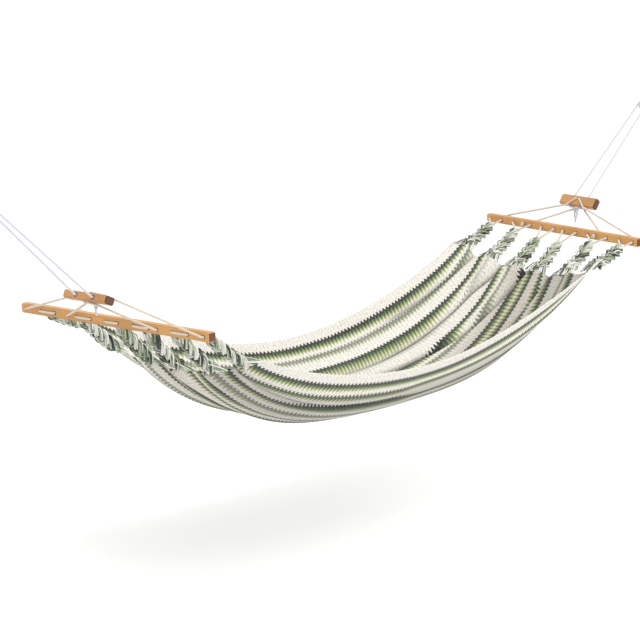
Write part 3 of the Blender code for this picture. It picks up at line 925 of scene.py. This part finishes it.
# Long creases, from the near rim to the far rim. Each has its course as (lengthwise, across) pairs, the
# stretch over which it shows, its depth (upwards, or downwards if it is negative), and how far the cloth
# laps over it.
CREASES = (
    (((-1, -0.74), (-0.5, -0.73), (0, -0.76), (1, -0.80)), (-1.2, -0.15), 0.020, 0.007),
    (((-1, -0.33), (-0.8, -0.45), (-0.5, -0.50), (0, -0.54), (1, -0.62)), (-1.2, -0.10), 0.017, 0.006),
    (((-1, 0.0), (-0.75, -0.10), (-0.45, -0.18), (0, -0.25), (1, -0.47)), (-1.2, -0.20), 0.015, 0.005),
    (
        ((-1, 0.10), (0, -0.10), (0.3, -0.10), (0.6, -0.14), (0.8, -0.22), (1, -0.33)),
        (0.35, 1.2), -0.016, 0.006,
    ),
    (
        ((-1, 0.33), (-0.8, 0.30), (-0.5, 0.26), (0, 0.22), (0.5, 0.12), (1, -0.16)),
        (-1.2, -0.6), -0.012, 0.0,
    ),
    (
        ((-1, 0.52), (0, 0.45), (0.28, 0.44), (0.53, 0.38), (0.69, 0.25), (0.82, 0.16), (1, 0.0)),
        (0.0, 1.2), -0.022, 0.010,
    ),
    (
        ((-1, 0.66), (0, 0.57), (0.48, 0.58), (0.7, 0.555), (0.87, 0.49), (1, 0.33)),
        (-0.3, 1.2), -0.026, 0.012,
    ),
    (((-1, 0.84), (0.6, 0.84), (0.85, 0.80), (1, 0.70)), (0.6, 1.2), -0.012, 0.004),
)


def course_of(course, lengthwise):
    """Where a crease lies across the bed at each of the lengthwise places, with its corners smoothed."""
    knots, places = zip(*course)
    reach = 12
    straight = np.interp(np.linspace(-1.0, 1.0, len(lengthwise)), knots, places)
    kernel = np.hanning(2 * reach + 1)
    padded = np.concatenate([2 * straight[0] - straight[reach:0:-1], straight,
                             2 * straight[-1] - straight[-2:-reach - 2:-1]])
    return np.convolve(padded, kernel / kernel.sum(), mode="valid")


def cloth_places():
    """Places lengthwise and across of every point, in columns that follow the creases, and their courses."""
    lengthwise = np.linspace(-1.0, 1.0, CLOTH_LENGTHWISE + 1)
    courses = np.array([course_of(crease[0], lengthwise) for crease in CREASES])
    knots = np.concatenate([[-1.0], courses.mean(axis=1), [1.0]])
    beside = [knot + offset / END_HALF_WIDTH for knot in knots[1:-1] for offset in BESIDE_CREASE]
    columns = np.concatenate([np.linspace(-1.0, 1.0, CLOTH_ACROSS + 1), beside])
    columns = np.unique(np.round(columns, 4))
    columns = columns[np.concatenate([[True], np.diff(columns) > 0.0035])]
    columns[-1] = 1.0
    across = np.array([
        np.interp(columns, knots, np.concatenate([[-1.0], courses[:, row], [1.0]]))
        for row in range(len(lengthwise))
    ])
    return lengthwise[:, None] * np.ones_like(across), across, courses


def creased(along, across, courses):
    """How far the creases lift the cloth and draw it sideways, and the shade painted into their folds and
    under the near half.
    """
    depth = np.zeros_like(across)
    slide = np.zeros_like(across)
    painted_shade = np.zeros_like(across)
    for course, (_, (start, end), height, lap) in zip(courses, CREASES):
        away = (across - course[:, None]) * MIDDLE_HALF_WIDTH
        side = np.where(course[:, None] > 0, 1.0, -1.0)
        outside = np.maximum(start - along, along - end).clip(0.0)
        strength = np.exp(-(outside / 0.10) ** 2)
        # Shade painted into the fold, stronger for deeper creases.
        painted_crease_shade = strength * min(1.0, abs(height) / 0.022)
        depth += strength * height * np.exp(-(np.abs(away) / 0.0085) ** 1.3)
        depth -= strength * 0.45 * height * np.exp(-((away - side * 0.030) / 0.024) ** 2)
        slide -= strength * side * lap * np.exp(-((away - side * 0.009) / 0.010) ** 2)
        painted_shade = np.maximum(painted_shade, painted_crease_shade * np.exp(-(np.abs(away) / 0.0075) ** 2))
    # Painted shade on the near half's underside, a darkening of its colour.
    under = 0.50 * ((-across - 0.15) / 0.20).clip(0.0, 1.0) * ((0.88 + across) / 0.10).clip(0.0, 1.0)
    return depth, slide, np.maximum(painted_shade, under)


def run_along_axis(points, axis):
    """Metres run from the first point, along one axis of the grid."""
    steps = np.cumsum(np.linalg.norm(np.diff(points, axis=axis), axis=2), axis=axis)
    return np.insert(steps, 0, 0.0, axis=axis)


def cloth_grid():
    """Rows of points along the bed, their metres across and along the flat cloth, and the shade painted on
    them.
    """
    along, across, courses = cloth_places()
    smooth = bed_places(along, across)
    depth, slide, painted_shade = creased(along, across, courses)
    from_end = 1.0 - np.abs(along)
    places = np.array(HANK_PLACES)[:, None, None]
    between = (np.abs(across * END_HALF_WIDTH / 0.98 - places).min(axis=0) / 0.080).clip(0.0, 1.0)
    gather = np.exp(-from_end / 0.13)
    depth += 0.010 * gather * np.cos(2 * math.pi * (across * END_HALF_WIDTH / 0.98 - 0.065) / 0.16)
    wave = np.sin(across * 27.0 + 2.0 * np.sin(along * 3.1)) + 0.7 * np.sin(across * 43.0 - along * 5.0)
    depth += 0.0018 * wave * (0.6 + 0.8 * along ** 2)
    side_way = np.gradient(smooth, axis=1)
    side_way /= np.linalg.norm(side_way, axis=2, keepdims=True)
    normal = np.cross(np.gradient(smooth, axis=0), side_way)
    normal /= np.linalg.norm(normal, axis=2, keepdims=True)
    fade = ((1.0 - np.abs(across)) / 0.06).clip(0.0, 1.0)[..., None]
    grid = smooth + (depth[..., None] * normal + slide[..., None] * side_way) * fade
    grid[..., 0] -= np.sign(along) * SCALLOP * between ** 2 * np.exp(-from_end / 0.06)
    run_across = run_along_axis(smooth, 1)
    run_across *= FLAT_WIDTH / run_across[:, -1:]
    return grid, run_across, run_along_axis(smooth, 0), painted_shade


def make_cloth(material):
    grid, run_across, run_along, painted_shade = cloth_grid()
    rows, columns = run_across.shape
    first = (np.arange(rows - 1)[:, None] * columns + np.arange(columns - 1)).ravel()
    faces = np.stack([first, first + columns, first + columns + 1, first + 1], axis=1).tolist()
    mesh = bpy.data.meshes.new("woven_bed")
    mesh.from_pydata(grid.reshape(-1, 3).tolist(), [], faces)
    layer = mesh.uv_layers.new(name="cloth_metres")
    metres = np.stack([run_across, run_along], axis=2).reshape(-1, 2)
    corner = np.empty(len(mesh.loops), dtype=np.int64)
    mesh.loops.foreach_get("vertex_index", corner)
    layer.data.foreach_set("uv", metres[corner].ravel())
    # The painted shade is stored on the points for the weave to darken by.
    mesh.attributes.new("painted_shade", "FLOAT", "POINT").data.foreach_set("value", painted_shade.ravel())
    mesh.polygons.foreach_set("use_smooth", [True] * len(mesh.polygons))
    mesh.materials.append(material)
    cloth = bpy.data.objects.new("woven_bed", mesh)
    bpy.context.collection.objects.link(cloth)
    wall = cloth.modifiers.new("wall", "SOLIDIFY")
    wall.thickness = CLOTH_THICKNESS
    wall.offset = 0.0
    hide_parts("bed_cloth")
    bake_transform(cloth)


# ---------------------------------------------------------------- scene

def paint(node, material):
    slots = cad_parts[node].data.materials
    slots.clear()
    slots.append(material)


def make_woods():
    for end, side in SIDES.items():
        outward, along, up = bar_axes(side)
        axes = (side * outward, along, up)
        drilled = [(2, place, 0.0, 0.0066) for place in (*LACE_HOLES, LEG_HOLE)]
        centre = bar_point(side, 0.0)
        bar = wood_material(end + "_bar_wood", axes, BAR_WOOD, BAR_LENGTH / 2, centre, drilled)
        depth, along, thick = block_axes(side)
        axes = (side * depth, along, thick)
        drilled = [(2, ROPE_HOLE, 0.0, 0.0072), (0, CORD_HOLE, side * CORD_HOLE_DEPTH, 0.0050)]
        centre = block_centre(side)
        block = wood_material(end + "_block_wood", axes, BLOCK_WOOD, BLOCK_LENGTH / 2, centre, drilled)
        paint(end + "_spreader_bar", bar)
        paint(end + "_gathering_block", block)


def make_camera():
    data = bpy.data.cameras.new("camera")
    data.lens = CAMERA_LENS
    data.sensor_width = SENSOR_WIDTH
    data.clip_end = 200.0
    camera = bpy.data.objects.new("camera", data)
    camera.location = MIDDLE + CAMERA_PLACE
    camera.rotation_euler = (math.radians(90 - CAMERA_PITCH), 0.0, math.radians(CAMERA_HEADING - 90))
    bpy.context.collection.objects.link(camera)
    bpy.context.scene.camera = camera


def make_studio():
    low = CAD_BOX[0]
    bpy.ops.mesh.primitive_plane_add(size=240.0, location=(MIDDLE.x, 0.0, low.z - FLOOR_DROP))
    floor = bpy.context.object
    floor.name = "floor"
    material, net, shader = start_material("pale_floor")
    feed(net, shader, Base_Color=(0.98, 0.98, 0.98, 1.0), Roughness=0.9)
    floor.data.materials.append(material)
    world = bpy.data.worlds.new("studio")
    world.use_nodes = True
    background = world.node_tree.nodes["Background"]
    background.inputs["Color"].default_value = (1.0, 1.0, 1.0, 1.0)
    background.inputs["Strength"].default_value = SKY_STRENGTH
    bpy.context.scene.world = world
    bpy.context.scene.view_settings.view_transform = "Standard"
    for name, place, power in LIGHTS:
        data = bpy.data.lights.new(name, "AREA")
        data.energy = power
        data.size = LIGHT_SIZE
        light = bpy.data.objects.new(name, data)
        light.location = MIDDLE + place
        light.rotation_euler = (-place).to_track_quat("-Z", "Y").to_euler()
        bpy.context.collection.objects.link(light)


def main():
    make_camera()
    make_studio()
    laid = cord_tree()
    trees = {"plait": plait_tree(), "yarn": yarn_tree()}
    cotton = fibre_material("cotton_cord_look", (0.84, 0.78, 0.68), (0.36, 0.27, 0.19))
    white = fibre_material("white_rope_look", (0.68, 0.68, 0.73), (0.40, 0.40, 0.46), 0.6)
    yarn = yarn_material("hank_yarn_look")
    steel = steel_material("zinc_steel_look")
    make_woods()
    for end, side in SIDES.items():
        make_rope(end, side, laid, white)
        make_lacing(end, side, laid, cotton)
        for index in range(len(HANK_PLACES)):
            make_hank(end, side, index, trees, yarn)
        for node in ("_hook", "_thimble"):
            paint(end + node, steel)
    make_cloth(weave_material("striped_weave_look"))


main()
